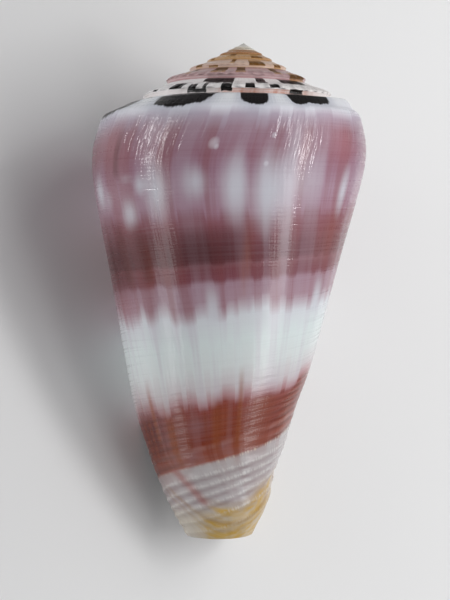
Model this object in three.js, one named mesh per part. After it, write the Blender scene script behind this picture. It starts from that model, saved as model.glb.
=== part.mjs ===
// A cone shell, grown in one piece: stepped spire, last whorl, thin lip, narrow mouth, notched base.
// It lies on its mouth, apex towards +Y, back up.
import * as THREE from "three";
import { mergeVertices } from "three/addons/utils/BufferGeometryUtils.js";

const { lerp, smoothstep, degToRad } = THREE.MathUtils;

// Growth. Turns are counted back from the lip: 0 at the lip, -1 one whorl earlier.
const WHORLS = 8; // from the apex to the lip
const STEPS = 40; // facets round one whorl
const MOUTH_STEPS = 30; // facets the mouth runs back inside, three quarters of a whorl
const WIDENING = 0.2827; // natural log of the growth in one turn, at the lip
const EARLY_WIDENING = 0.014; // how much faster the young shell widened
const LIP_ANGLE = degToRad(155); // where the lip stands round the axis, from the shell's right side

// Outline of the last whorl at the lip: radius and depth below the apex, millimetres.
const OUTLINE = [
  [19.2, 10.5], // top of the shoulder, where the ramp ends
  [21.2, 11.8],
  [22.5, 13.0],
  [23.4, 15.8],
  [24.0, 18.9],
  [23.8, 23.1],
  [22.5, 29.4],
  [20.0, 39.9],
  [17.7, 50.4],
  [15.2, 60.9],
  [12.5, 68.3],
  [9.5, 74.6],
  [6.3, 79.8], // rim of the siphon notch
];
const LAST = OUTLINE.length; // station of the rim; station 0 is the suture, 1 the first point above
const SUTURE = 3.35; // station of the suture on the whorl inside
const MOUTH_TOP = 3.7; // station where the mouth's upper corner meets the whorl inside
const BASE_FROM = 11; // the corded base starts at this station
const BASE_CORDS = 6; // cords round the base
const RAMP_CORD = 0.15; // height of the two cords on the ramp
const RAMP_DIP = 0.1; // how far the ramp is hollowed
const BASE_CORD = 0.2; // height of the cords on the base

// The shoulder is uneven: it sinks towards the lip, and swells on the shell's right side.
const SHOULDER_TOP = OUTLINE[0][1]; // depth where both are full
const SINK = { down: 0.95, from: -0.36, to: -0.02, foot: 14 };
const SWELLING = { out: 0.5, up: 0.35, turn: -0.55, half: 0.1, foot: 12 };

// The spire's whorls are squarer than the last one, and the last of them is cut in on its left side.
const SQUARE = { out: 2.3, down: 1.2, from: 0.85, to: 1.05, foot: 13.6 };
const CUT = { edge: 1.8, foot: 1.3, turn: -1.12, half: 0.18, from: 14, to: 20 };

// Base: the rim stays level while the shell widens, and the pillar inside it stays narrow.
const LEVEL_FROM = 64.3; // depth where the spirals begin to level out
const RIM_SINK = 0.075; // share of the growth that still deepens the rim
const RIM_WIDEN = 1.48; // the rim widens faster than the whorl
const PILLAR_TOP = 52; // depth where the pillar begins to taper
const PILLAR_NARROWING = 0.6; // share of its radius that is gone at the rim
const PILLAR_FROM = 0.6; // turns back from the lip, where the last whorl turns into the pillar
const PILLAR_TO = 1.1;

// The fold round the base, a groove and a swelling below it, rises away from the lip.
const FOLD_HEIGHT = 0.35;
const FOLD_TOP = 11.46; // from this station
const FOLD_FOOT = 12.62; // to this one
const FOLD_FROM = 0.2; // turns back from the lip
const FOLD_TO = 0.5;

// Growth lines lean back from the lip's upright line: how far, and between which depths.
const SHOULDER_LEAN = { turns: 0.03, from: 24, to: 10 }; // up the shoulder
const SIDE_LEAN = { turns: 0.03, from: 20, to: 66 };
const NOTCH_LEAN = { turns: 0.11, from: 60, to: 84 };
const RAMP_LEAN = 0.008; // turns, most in the middle of the ramp

// Wall
const LIP_THICK = 0.7; // at the lip's edge
const WALL_THICK = 1.6; // further in
const THICKENS_IN = 0.12; // turns back from the lip to the full thickness
const BESIDE = 0.01; // stations to each side, to find which way the wall faces

// Rest
const ROLL = degToRad(-21.35); // round the axis, down onto the lip
const PITCH = degToRad(12.78); // the wide end lifts the apex
const WELD = 1e-4; // corners this near, in millimetres, are one

const outline = new THREE.SplineCurve(OUTLINE.map(([r, d]) => new THREE.Vector2(r, d)));
const RIM_DEPTH = OUTLINE[LAST - 1][1];

// Size of the whole shell at a turn, 1 at the lip.
const scaleAt = (turn) => Math.exp(WIDENING * turn - EARLY_WIDENING * turn * turn);

const outlineAt = (station) => outline.getPoint((station - 1) / (LAST - 1));

// One part of the lean, which sets in smoothly from one depth to another.
function leanPart({ turns, from, to }, depth) {
  return turns * (from < to ? smoothstep(depth, from, to) : smoothstep(-depth, -from, -to));
}

// How far the growth line lies behind the lip's upright line, in turns.
function lean(station) {
  if (station < 1) {
    const ends = lerp(lean(SUTURE), lean(1), station);
    return ends + RAMP_LEAN * Math.sin(Math.PI * station);
  }
  const depth = outlineAt(station).y;
  return leanPart(SHOULDER_LEAN, depth) + leanPart(SIDE_LEAN, depth) + leanPart(NOTCH_LEAN, depth);
}

// How far the cords and the fold stand out from the base.
function relief(turn, station) {
  if (station <= BASE_FROM) return 0;
  const cords = (BASE_CORDS * (station - BASE_FROM)) / (LAST - BASE_FROM);
  const cord = BASE_CORD * Math.sin(Math.PI * cords) ** 2;
  if (station < FOLD_TOP || station > FOLD_FOOT) return cord;
  const wave = Math.sin((2 * Math.PI * (station - FOLD_TOP)) / (FOLD_FOOT - FOLD_TOP));
  return cord - FOLD_HEIGHT * smoothstep(-turn, FOLD_FROM, FOLD_TO) * wave;
}

// 1 at the middle of an uneven place, and nearly 0 two half widths away from it.
const nearness = (turn, place) => Math.exp(-(((turn - place.turn) / place.half) ** 2));

// How far the shoulder is out of true at a turn and depth: outwards and downwards.
function unevenness(turn, depth) {
  const swell = nearness(turn, SWELLING) * (1 - smoothstep(depth, SHOULDER_TOP, SWELLING.foot));
  const sink = smoothstep(turn, SINK.from, SINK.to) * (1 - smoothstep(depth, SHOULDER_TOP, SINK.foot));
  const spire = smoothstep(-turn, SQUARE.from, SQUARE.to) * scaleAt(turn);
  const edge = 1 - smoothstep(depth, SHOULDER_TOP, SQUARE.foot);
  const side = nearness(turn, CUT) * (1 - smoothstep(depth, CUT.from, CUT.to));
  const cut = side * lerp(CUT.foot, CUT.edge, edge);
  const out = SWELLING.out * swell + spire * (SQUARE.out * edge - cut);
  const down = SINK.down * sink - SWELLING.up * swell + spire * SQUARE.down * edge;
  return new THREE.Vector2(out, down);
}

// Radius and depth of the body wall, from the shoulder to the rim, with its relief or plain.
function wallAt(turn, station, raised = 0) {
  const p = outlineAt(station);
  const level = smoothstep(p.y, LEVEL_FROM, RIM_DEPTH);
  const pillar = smoothstep(p.y, PILLAR_TOP, RIM_DEPTH) * smoothstep(-turn, PILLAR_FROM, PILLAR_TO);
  const scale = scaleAt(turn);
  const uneven = unevenness(turn, p.y);
  p.x = (p.x + raised) * scale ** lerp(1, RIM_WIDEN, level) * (1 - PILLAR_NARROWING * pillar);
  p.y = p.y * scale ** lerp(1, RIM_SINK, level);
  return p.add(uneven);
}

// Radius and depth of the ramp, from the suture out to the shoulder.
function rampAt(turn, station) {
  const p = wallAt(turn - 1, SUTURE).lerp(wallAt(turn, 1), station);
  const cords = RAMP_CORD * Math.sin(2 * Math.PI * station) ** 2;
  p.y += (RAMP_DIP * Math.sin(Math.PI * station) - cords) * scaleAt(turn);
  return p;
}

// A point of radius and depth at a turn, in space: apex to +Y, back to +Z.
function place(p, turn) {
  const angle = LIP_ANGLE - 2 * Math.PI * turn;
  return new THREE.Vector3(p.x * Math.cos(angle), -p.y, -p.x * Math.sin(angle));
}

// The outer surface of every whorl.
function outer(turn, station) {
  const at = turn - lean(station);
  return place(station < 1 ? rampAt(at, station) : wallAt(at, station, relief(at, station)), at);
}

// The wall's inner surface, a wall's thickness inside the outer one.
function innerWall(turn, station) {
  const at = turn - lean(station);
  const p = wallAt(at, station);
  const above = wallAt(at, Math.max(station - BESIDE, 1));
  const along = wallAt(at, Math.min(station + BESIDE, LAST)).sub(above);
  const thick = lerp(LIP_THICK, WALL_THICK, smoothstep(-turn, 0, THICKENS_IN)) * scaleAt(at);
  p.x -= (thick * along.y) / along.length();
  p.y += (thick * along.x) / along.length();
  return place(p, at);
}

// The inner surface from the mouth's upper corner, under the ramp, and down the wall.
function inner(turn, station) {
  if (station >= 1) return innerWall(turn, station);
  return outer(turn - 1, MOUTH_TOP).lerp(innerWall(turn, 1), station);
}

// Stations down the shell that carry a row of corners.
function stationList() {
  const ramp = [0, 0.25, 0.5, 0.75];
  const shoulder = [1, 2, 3, SUTURE, MOUTH_TOP];
  const body = [4, 5, 6, 7, 8, 9, 10, BASE_FROM];
  const base = [];
  for (let k = 1; k <= 2 * BASE_CORDS; k++) base.push(lerp(BASE_FROM, LAST, k / (2 * BASE_CORDS)));
  return [...ramp, ...shoulder, ...body, ...base];
}

const stations = stationList();
const RIM = stations.length - 1;
const SUTURE_ROW = stations.indexOf(SUTURE);
const MOUTH_ROW = stations.indexOf(MOUTH_TOP);
const corners = [];

const triangle = (a, b, c) => corners.push(a, b, c);

// A four-sided facet: a and b above, d and c below them.
function facet(a, b, c, d) {
  triangle(a, b, d);
  triangle(b, c, d);
}

const outerAt = (step, row) => outer(step / STEPS, stations[row]);
const innerAt = (step, row) => inner(step / STEPS, stations[row]);

// One upright strip of the outer surface, between two steps and two rows.
function outerStrip(step, from, to) {
  for (let row = from; row < to; row++) {
    facet(outerAt(step, row), outerAt(step + 1, row), outerAt(step + 1, row + 1), outerAt(step, row + 1));
  }
}

// The spire, the last whorl outside, and the whorl inside that the mouth opens onto.
function addOutside() {
  for (let step = -WHORLS * STEPS; step < 0; step++) {
    outerStrip(step, 0, SUTURE_ROW);
    if (step >= -STEPS) outerStrip(step, SUTURE_ROW, RIM);
    else if (step >= -STEPS - MOUTH_STEPS) outerStrip(step, MOUTH_ROW, RIM);
  }
}

// The apex closes the first whorl.
function addApex() {
  const first = -WHORLS * STEPS;
  const tip = new THREE.Vector3(0, 0, 0);
  for (let step = first; step < first + STEPS; step++) {
    triangle(tip, outerAt(step + 1, 0), outerAt(step, 0));
  }
  for (let row = 0; row < SUTURE_ROW; row++) {
    triangle(outerAt(first, row), outerAt(first, row + 1), tip);
  }
}

// The lip's edge and the wall inside the mouth.
function addMouthWall() {
  for (let row = 0; row < RIM; row++) {
    facet(outerAt(0, row), innerAt(0, row), innerAt(0, row + 1), outerAt(0, row + 1));
    for (let step = 0; step > -MOUTH_STEPS; step--) {
      facet(innerAt(step, row), innerAt(step - 1, row), innerAt(step - 1, row + 1), innerAt(step, row + 1));
    }
  }
}

// The far end of the mouth, where the model stops following it.
function addMouthEnd() {
  const far = -MOUTH_STEPS;
  const back = far - STEPS;
  for (let row = 0; row < MOUTH_ROW; row++) {
    triangle(innerAt(far, row), outerAt(back, MOUTH_ROW), innerAt(far, row + 1));
  }
  for (let row = MOUTH_ROW; row < RIM; row++) {
    facet(innerAt(far, row), outerAt(back, row), outerAt(back, row + 1), innerAt(far, row + 1));
  }
}

// The rim of the base: the wall's edge, and the end of the pillar.
function addRim() {
  for (let step = -MOUTH_STEPS; step < 0; step++) {
    facet(outerAt(step, RIM), outerAt(step + 1, RIM), innerAt(step + 1, RIM), innerAt(step, RIM));
  }
  const far = -MOUTH_STEPS;
  const loop = [];
  for (let step = far - STEPS; step <= far; step++) loop.push(outerAt(step, RIM));
  loop.push(innerAt(far, RIM));
  const middle = new THREE.Vector3(0, -wallAt((far - STEPS / 2) / STEPS, LAST).y, 0);
  loop.forEach((corner, k) => triangle(corner, loop[(k + 1) % loop.length], middle));
}

// One closed body from all the facets, laid to rest on its mouth.
function shellGeometry() {
  addOutside();
  addApex();
  addMouthWall();
  addMouthEnd();
  addRim();
  const geometry = mergeVertices(new THREE.BufferGeometry().setFromPoints(corners), WELD);
  geometry.rotateY(ROLL).rotateX(PITCH);
  geometry.computeBoundingBox();
  const { min, max } = geometry.boundingBox;
  geometry.translate(-(min.x + max.x) / 2, -(min.y + max.y) / 2, -min.z);
  geometry.computeVertexNormals();
  return geometry;
}

function shellMesh() {
  const porcelain = new THREE.MeshStandardMaterial({ color: 0xb08a94, roughness: 0.3, metalness: 0 });
  const mesh = new THREE.Mesh(shellGeometry(), porcelain);
  mesh.name = "shell";
  return mesh;
}

const part = new THREE.Group();
part.add(shellMesh());

export default part;
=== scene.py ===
# %% [markdown]
# # A cone shell, lying on its mouth
#
# A marine snail builds its shell at one edge only, the lip of the mouth. The lip moves round an
# axis, grows a little with each step, and leaves a wall behind it. So one curve, the lip's outline,
# and one rule of growth give the whole shell: the spire, the last whorl, and the cords on the base.
# This lesson repeats that rule at a fine step, paints the result in the shell's own directions
# (round the whorl, and down from the shoulder), and sets it in a plain studio.
#
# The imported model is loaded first. It fixes the size, the place and the names.

# %% Load the frame
import math
import bpy
import numpy as np
from mathutils import Matrix, Vector


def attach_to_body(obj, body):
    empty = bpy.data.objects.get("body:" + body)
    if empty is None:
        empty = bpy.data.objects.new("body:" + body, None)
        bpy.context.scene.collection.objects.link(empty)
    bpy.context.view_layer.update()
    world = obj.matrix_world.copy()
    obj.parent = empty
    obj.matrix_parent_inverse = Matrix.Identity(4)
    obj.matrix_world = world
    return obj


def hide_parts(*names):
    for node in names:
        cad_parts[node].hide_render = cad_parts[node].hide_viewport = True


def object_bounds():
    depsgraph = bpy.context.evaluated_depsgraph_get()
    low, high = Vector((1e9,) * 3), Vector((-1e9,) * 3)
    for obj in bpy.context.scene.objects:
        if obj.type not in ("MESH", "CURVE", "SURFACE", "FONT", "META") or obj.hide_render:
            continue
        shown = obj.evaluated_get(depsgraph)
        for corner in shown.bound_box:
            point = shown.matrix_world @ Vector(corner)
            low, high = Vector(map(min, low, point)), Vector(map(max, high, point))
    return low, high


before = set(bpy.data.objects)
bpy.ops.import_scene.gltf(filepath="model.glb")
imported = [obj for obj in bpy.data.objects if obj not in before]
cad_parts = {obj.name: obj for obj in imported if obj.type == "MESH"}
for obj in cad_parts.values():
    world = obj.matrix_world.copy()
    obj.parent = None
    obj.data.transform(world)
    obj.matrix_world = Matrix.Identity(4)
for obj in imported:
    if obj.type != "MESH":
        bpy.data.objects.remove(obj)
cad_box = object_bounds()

MM = 0.001

# %% [markdown]
# ## Growth
#
# Time is counted in turns: 0 at the lip, -1 one whorl earlier. Size falls off as an exponential of
# time, which is why a small whorl has the shape of a large one. Two curves are used all through the
# lesson, a soft step and a bell.

# %% The growth rule
WHORLS = 8
WIDENING, EARLY_WIDENING = 0.2827, 0.014  # the logarithm of one turn's growth, and its extra in youth


def smooth(value, low, high):
    """0 below low, 1 above high, an S curve between."""
    t = np.clip((value - low) / (high - low), 0, 1)
    return t * t * (3 - 2 * t)


def bump(value, middle, half):
    """A bell: 1 in its middle, near 0 at twice its half width."""
    return np.exp(-(((value - middle) / half) ** 2))


def mix(a, b, share):
    """a where share is 0, b where it is 1."""
    return a + (b - a) * share


def size_at(turn):
    """Size of the whorl at a turn, against 1 at the lip."""
    return np.exp(WIDENING * turn - EARLY_WIDENING * turn ** 2)


print("size one whorl back:", round(float(size_at(-1)), 3))

# %% [markdown]
# The outline is given once, at the lip, as radius and depth below the apex in millimetres. A smooth
# curve through few points is better than many points, because a shell's profile has no wobbles. A
# station is a place along it: 0 at the suture above, 1 at the shoulder's edge, then one more at each
# point, up to the rim.

# %% The outline
OUTLINE = np.array([
    (19.2, 10.5), (21.2, 11.8), (22.5, 13.0), (23.4, 15.8), (24.0, 18.9), (23.8, 23.1), (22.5, 29.4),
    (20.0, 39.9), (17.7, 50.4), (15.2, 60.9), (12.5, 68.3), (9.5, 74.6), (6.3, 79.8),
])
LAST = len(OUTLINE)  # station of the rim


def outline_at(station):
    """Radius and depth on a smooth curve through the outline's points."""
    place = np.clip(np.asarray(station, float) - 1, 0, LAST - 1)
    first = np.minimum(place.astype(int), LAST - 1)
    t = (place - first)[..., None]
    before, start, end, after = (OUTLINE[np.clip(first + k, 0, LAST - 1)] for k in (-1, 0, 1, 2))
    out, into = (end - before) / 2, (after - start) / 2
    turn_in = (2 * start - 2 * end + out + into) * t ** 3
    turn_out = (3 * end - 3 * start - 2 * out - into) * t ** 2
    point = turn_in + turn_out + out * t + start
    return point[..., 0], point[..., 1]


print("widest radius", OUTLINE[:, 0].max(), "mm, rim at station", LAST)

# %% [markdown]
# The wall doesn't widen the same way all over. On the base the spirals level out, so the rim stays
# nearly flat, and inside the mouth the whorl before is a narrow pillar. The shoulder is uneven, as on
# any real shell, and squarer on the young whorls of the spire.

# %% The wall
SHOULDER, RIM = 10.5, 79.8  # depths
SWELLING, DENT = (-0.55, 0.1), (-1.12, 0.18)  # turn of the middle, half the width
LEVEL_FROM, PILLAR_FROM = 64.3, 52  # depths where the base levels out and the pillar narrows
RADIUS_POWER, DEPTH_POWER = 1.48, 0.075  # of the size, at the rim; both are 1 above the base


def unevenness(at, depth):
    """How far the shoulder is out of true: outwards and downwards, in millimetres."""
    swell = bump(at, *SWELLING) * (1 - smooth(depth, SHOULDER, 12))
    sink = smooth(at, -0.36, -0.02) * (1 - smooth(depth, SHOULDER, 14))
    spire = smooth(-at, 0.85, 1.05) * size_at(at)
    square = 1 - smooth(depth, SHOULDER, 13.6)
    cut_in = bump(at, *DENT) * (1 - smooth(depth, 14, 20)) * mix(1.3, 1.8, square)
    out = 0.5 * swell + spire * (2.3 * square - cut_in)
    return out, 0.95 * sink - 0.35 * swell + spire * 1.2 * square


def wall(at, station, raised=0.0):
    """Radius and depth of the outer wall, with relief raised on it."""
    radius, depth = outline_at(station)
    level = smooth(depth, LEVEL_FROM, RIM)
    pillar = smooth(depth, PILLAR_FROM, RIM) * smooth(-at, 0.6, 1.1)
    out, down = unevenness(at, depth)
    size = size_at(at)
    wide = (radius + raised) * size ** mix(1, RADIUS_POWER, level) * (1 - 0.6 * pillar) + out
    return np.stack([wide, depth * size ** mix(1, DEPTH_POWER, level) + down], -1)


print("lip's shoulder, radius and depth:", wall(np.zeros(1), np.ones(1))[0].round(1))

# %% [markdown]
# Growth lines lean back a little from upright. The whole grid of points leans with them, so the
# stripes and ridges lie as real growth lines do.

# %% Lean
LIP_ANGLE = math.radians(155)  # where the lip stands round the axis
SUTURE, MOUTH_TOP = 3.35, 3.7  # stations where the next whorl joins on, and where the mouth begins


def bend(depth, shoulder, side, base, base_from):
    """Turns by which a line lies back: at the shoulder, more down the side, more on the base."""
    top = shoulder * (1 - smooth(depth, 10, 24))
    return top + side * smooth(depth, 20, 66) + base * smooth(depth, base_from, 84)


def lean(station):
    """Turns by which a growth line lies back at a station."""
    body = bend(outline_at(np.maximum(station, 1))[1], 0.03, 0.03, 0.11, 60)
    if np.min(station) >= 1:
        return body
    ends = mix(lean(np.array(SUTURE)), lean(np.array(1.0)), station)
    return np.where(station < 1, ends + 0.008 * np.sin(np.pi * station), body)


def in_space(profile, at):
    """Points from radius and depth. The axis is Y, and the apex is at zero."""
    angle = LIP_ANGLE - 2 * np.pi * at
    radius, depth = profile[..., 0], profile[..., 1]
    return np.stack([radius * np.cos(angle), -depth, -radius * np.sin(angle)], -1)


print("lean at shoulder and rim, turns:", lean(np.array([1.0, LAST])).round(3))

# %% [markdown]
# ## Relief
#
# Some relief needs real geometry. Growth came in spurts, which left faint waves across the whorl. On
# the spire, low knobs stand in a row along each whorl's edge. Anything finer is left for the
# material's bump. All random numbers come from one seeded generator, so each run is the same.

# %% Growth waves and knobs
rng = np.random.default_rng(7)
WAVE_TURNS = np.arange(-WHORLS - 1, 1, 1 / 70)
SWINGS = 0.04 * np.sin(WAVE_TURNS * 61 + np.sin(WAVE_TURNS * 17) * 2)
WAVE_HEIGHTS = rng.normal(0, 0.025, len(WAVE_TURNS)) + SWINGS
KNOB_TURNS = 0.0245  # from one knob on the spire to the next
KNOB_GAP, KNOB_HEIGHT = -1.299, 0.7  # turn of a gap between two knobs, millimetres


def growth_wave(turn):
    """Height of the growth waves, in millimetres."""
    return np.interp(turn, WAVE_TURNS, WAVE_HEIGHTS)


def knob_height(at, station):
    """Height of the row of knobs, which is worn off the oldest whorls."""
    pitch = (at - KNOB_GAP) / KNOB_TURNS
    row = np.sin(np.pi * pitch) ** 2 * bump(station, 1.5, 1.1) * smooth(-at, 1.0, 1.1)
    return KNOB_HEIGHT * row * (1 - smooth(-at, 3.0, 4.5)) * (station <= SUTURE)


print("highest growth wave, mm:", WAVE_HEIGHTS.max().round(2))

# %% [markdown]
# Narrow cords run round the base and fade out up the side. They climb as the shell grows, so they
# are placed by a depth that is corrected for the turn, and a fold below them fades towards the lip.

# %% Cords and fold
# depth, height, both in millimetres
BASE_CORDS = [(71.5, 0.2), (72.65, 0.2), (73.7, 0.16), (74.8, 0.22), (76.4, 0.22), (78.2, 0.22)]
CORD_GAP = 1.15  # from one of the faint cords on the side to the next
CORDS = BASE_CORDS + [(70.3 - CORD_GAP * k, 0.1 * 0.86 ** k) for k in range(12)]
MEASURED_AT = -0.3  # turn where all depths are counted without correction


def cord_depth(at, depth):
    """Depth corrected for the climb of the cords."""
    climb = mix(5.0, 11.0, smooth(depth, 69, 76)) * mix(1, 0.55, smooth(depth, 76.5, 79.5))
    return depth - climb * (at - MEASURED_AT)


def base_relief(at, station):
    """Height of the cords and of the fold below them."""
    along = cord_depth(at, outline_at(np.maximum(station, 1))[1])
    cords = sum(height * bump(along, middle, 0.36) for middle, height in CORDS)
    fold = np.sin(2 * np.pi * np.clip((station - 11.46) / 1.16, 0, 1))
    return cords - 0.35 * smooth(-at, 0.2, 0.5) * fold


print(len(CORDS), "cords")

# %% [markdown]
# The outer surface is a ramp from the suture to the shoulder, and the wall below it. The ramp starts
# on the whorl before, so it takes up that whorl's waves and knobs.

# %% The outer surface
def outer(turn, station):
    """Points on the outside of the shell."""
    at = turn - lean(station)
    raised = base_relief(at, station) + growth_wave(turn) + knob_height(at, station)
    body = wall(at, np.maximum(station, 1), raised)
    edge_of_ramp = growth_wave(turn) + knob_height(at, np.ones_like(station))
    top = wall(at, np.ones_like(station), edge_of_ramp)
    foot = growth_wave(turn - 1) + knob_height(at - 1, np.full_like(station, SUTURE))
    suture = wall(at - 1, np.full_like(station, SUTURE), foot)
    ramp = mix(suture, top, np.minimum(station, 1)[..., None])
    threads = 0.12 * np.sin(2 * np.pi * station) ** 2
    ramp[..., 1] += (0.1 * np.sin(np.pi * station) - threads) * size_at(at)
    return in_space(np.where((station < 1)[..., None], ramp, body), at)


print("rim at the lip, mm:", outer(np.zeros(1), np.full(1, float(LAST)))[0].round(1))

# %% [markdown]
# The wall has a thickness: thin at the lip's edge, thicker a little way in. The inner surface is the
# outer one moved inwards, square to the profile. Under the ramp it runs from the mouth's upper
# corner to the shoulder.

# %% The inside of the wall
LIP_THICKNESS, WALL_THICKNESS = 0.7, 1.6  # millimetres


def inner_wall(turn, station):
    """Points inside the wall, below the shoulder."""
    at = turn - lean(station)
    here = wall(at, station)
    along = wall(at, np.minimum(station + 0.01, LAST)) - wall(at, np.maximum(station - 0.01, 1))
    thick = mix(LIP_THICKNESS, WALL_THICKNESS, smooth(-turn, 0, 0.12)) * size_at(at)
    side = thick / np.linalg.norm(along, axis=-1)
    inward = np.stack([-along[..., 1] * side, along[..., 0] * side], -1)
    return in_space(here + inward, at)


def inner(turn, station):
    """Points on the inside of the mouth."""
    body = inner_wall(turn, np.maximum(station, 1))
    corner = outer(turn - 1, np.full_like(station, MOUTH_TOP))
    shoulder = inner_wall(turn, np.ones_like(station))
    roof = mix(corner, shoulder, np.minimum(station, 1)[..., None])
    return np.where((station < 1)[..., None], roof, body)


print("wall from", LIP_THICKNESS, "to", WALL_THICKNESS, "mm thick")

# %% [markdown]
# ## One closed skin
#
# Rows of points run down the shell: close together at the ramp, the shoulder and the cords, wider
# apart on the smooth side.

# %% Rows of points
def spread(first, last, count):
    """Stations from first to last, spaced evenly along the outline."""
    fine = np.linspace(first, last, 3000)
    steps = [np.diff(part) for part in outline_at(fine)]
    run = np.concatenate([[0], np.cumsum(np.hypot(*steps))])
    return np.interp(np.linspace(0, run[-1], count), run, fine)


CORDS_FROM = 9.7  # station where the rows move closer together
ROWS = np.concatenate([
    np.linspace(0, 1, 13)[:-1],
    np.linspace(1, SUTURE, 16),
    np.linspace(SUTURE, MOUTH_TOP, 6)[1:],
    spread(MOUTH_TOP, CORDS_FROM, 76)[1:-1],
    spread(CORDS_FROM, LAST, 88),
])
SUTURE_ROW = int(np.flatnonzero(ROWS == SUTURE)[0])
MOUTH_ROW = int(np.flatnonzero(ROWS == MOUTH_TOP)[0])
print(len(ROWS), "rows, suture on row", SUTURE_ROW, "and mouth from row", MOUTH_ROW)

# %% [markdown]
# The skin is one sheet that rolls round the whorl, over the lip's edge, back along the inside of the
# wall, and out again over the whorl inside.

# %% Sheets
STEPS = 144  # columns round one whorl
MOUTH_STEPS = 108  # columns that the mouth runs back inside: three quarters of a whorl
sheets = []  # each is an array of columns by rows of points, with turn, station and side


def add_sheet(points, turn, station, side):
    """side is 0 on the outside, 1 inside the mouth."""
    shape = points.shape[:2]
    facts = [np.broadcast_to(value, shape)[..., None] for value in (turn, station, side)]
    sheets.append(np.concatenate([points, *facts], -1))


def grid(first_step, last_step, rows):
    """Turns and stations of a sheet, whose columns run forwards or backwards in time."""
    way = 1 if last_step > first_step else -1
    steps = np.arange(first_step, last_step + way, way)
    return np.meshgrid(steps / STEPS, rows, indexing="ij")


turn, station = grid(-WHORLS * STEPS, -STEPS, ROWS[:SUTURE_ROW + 1])
add_sheet(outer(turn, station), turn, station, 0)
turn, station = grid(-STEPS, 0, ROWS)
add_sheet(outer(turn, station), turn, station, 0)
turn, station = grid(0, -MOUTH_STEPS, ROWS)
add_sheet(inner(turn, station), turn, station, 1)
turn, station = grid(-STEPS - MOUTH_STEPS, -STEPS, ROWS[MOUTH_ROW:])
add_sheet(outer(turn, station), turn, station, smooth(-turn, 1.0, 1.05))
print(sum(s.shape[0] * s.shape[1] for s in sheets), "points")

# %% [markdown]
# The lip's edge and the rim of the base are rounded over, not cut square, because the living edge of
# a shell is never sharp. Each is a narrow strip from the outer surface to the inner one, pushed out
# in an arc. Where the lip meets the whorl inside, it has no edge of its own.

# %% Lip and rim
across = np.linspace(0, 1, 6)[:, None]


def rounded(start, end, push):
    """A strip of points from one edge to the other, bulging by the vector push."""
    return mix(start, end, across[..., None]) + np.sin(np.pi * across)[..., None] * push


rows = ROWS[None, :]
edge_out, edge_in = outer(np.zeros_like(rows), rows), inner(np.zeros_like(rows), rows)
ahead = edge_out - outer(np.full_like(rows, -1 / STEPS), rows)
ahead /= np.linalg.norm(ahead, axis=-1, keepdims=True)
ahead *= 0.3 * np.linalg.norm(edge_out - edge_in, axis=-1, keepdims=True).clip(0, LIP_THICKNESS)
ahead *= (smooth(rows, 0, 1) * (1 - smooth(rows, LAST - 0.4, LAST)))[..., None]
lip = rounded(edge_out, edge_in, ahead)
lip[:, 0] = outer(np.full(6, -1.0), ROWS[SUTURE_ROW:MOUTH_ROW + 1])
add_sheet(lip, 0, rows, across)

steps = np.arange(-MOUTH_STEPS, 1)[None, :] / STEPS
rim_out, rim_in = outer(steps, np.full_like(steps, LAST)), inner(steps, np.full_like(steps, LAST))
down = np.array([0, -0.25, 0.0]) * (1 - smooth(steps, -0.03, 0))[..., None]
rim = rounded(rim_out, rim_in, down).transpose(1, 0, 2)
add_sheet(rim, steps.T, LAST, across.T)
print("lip and rim strips:", lip.shape[:2], rim.shape[:2])

# %% [markdown]
# The mouth's far end is closed where nobody can see it. The oldest whorl ends in a point, the apex.

# %% Mouth end and apex
far, back = -MOUTH_STEPS / STEPS, -MOUTH_STEPS / STEPS - 1
end_rows = ROWS[MOUTH_ROW:][None, :]
end_in = inner(np.full_like(end_rows, far), end_rows)
end_out = outer(np.full_like(end_rows, back), end_rows)
add_sheet(np.concatenate([end_in, end_out]), far, end_rows, 1)
fans = []  # triangles: three points each, with turn, station and side


def add_fan(ring, tip, turn, station, side):
    """Triangles from each pair of neighbours in the ring to the tip."""
    corners = np.stack([ring[:-1], np.broadcast_to(tip, ring[1:].shape), ring[1:]], 1)
    facts = np.broadcast_to(np.array([turn, station, side], float), corners.shape)
    fans.append(np.concatenate([corners, facts], -1))


top_rows = ROWS[None, :MOUTH_ROW + 1]
add_fan(inner(np.full_like(top_rows, far), top_rows)[0], end_out[0, 0], far, 1, 1)
APEX = np.zeros(3)
first_ring = np.arange(-WHORLS * STEPS, -(WHORLS - 1) * STEPS + 1) / STEPS
add_fan(outer(first_ring, np.zeros_like(first_ring)), APEX, -WHORLS, 0, 0)
first_rows = ROWS[:SUTURE_ROW + 1][::-1]
add_fan(outer(np.full_like(first_rows, -WHORLS), first_rows), APEX, -WHORLS, 0, 0)
print(len(fans), "fans")

# %% [markdown]
# The narrow front end of the pillar is the last opening. It closes with a few rings that draw in to
# the axis, slightly domed, like the worn tip of a real shell.

# %% The pillar's end
DOME, PILLAR_TURN = 0.3, -1.2  # height in millimetres, and the turn that colours it
ring_turns = np.arange(-STEPS - MOUTH_STEPS, -MOUTH_STEPS + 1) / STEPS
ring = outer(ring_turns, np.full_like(ring_turns, LAST))
ring = np.concatenate([ring, rim[0, 1:], ring[:1]])
middle = np.array([0, ring[:, 1].mean(), 0])
shares = np.array([0, 0.25, 0.5, 0.75])
rings = mix(ring[None], middle, shares[:, None, None])
rings[..., 1] -= DOME * np.sin(shares * np.pi / 2)[:, None]
add_sheet(rings.transpose(1, 0, 2), PILLAR_TURN, LAST, 1)
tip = middle - np.array([0, DOME, 0])
add_fan(rings[-1][::-1], tip, PILLAR_TURN, LAST, 1)
print(len(rings), "rings of", len(ring), "points")

# %% [markdown]
# ## The mesh
#
# The sheets are cut into four-sided faces. Points that fall on each other are welded, so the skin
# has no seam and no hole. Every face keeps its own turn, station and side, because a point on the
# suture belongs to two whorls at once.

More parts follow.
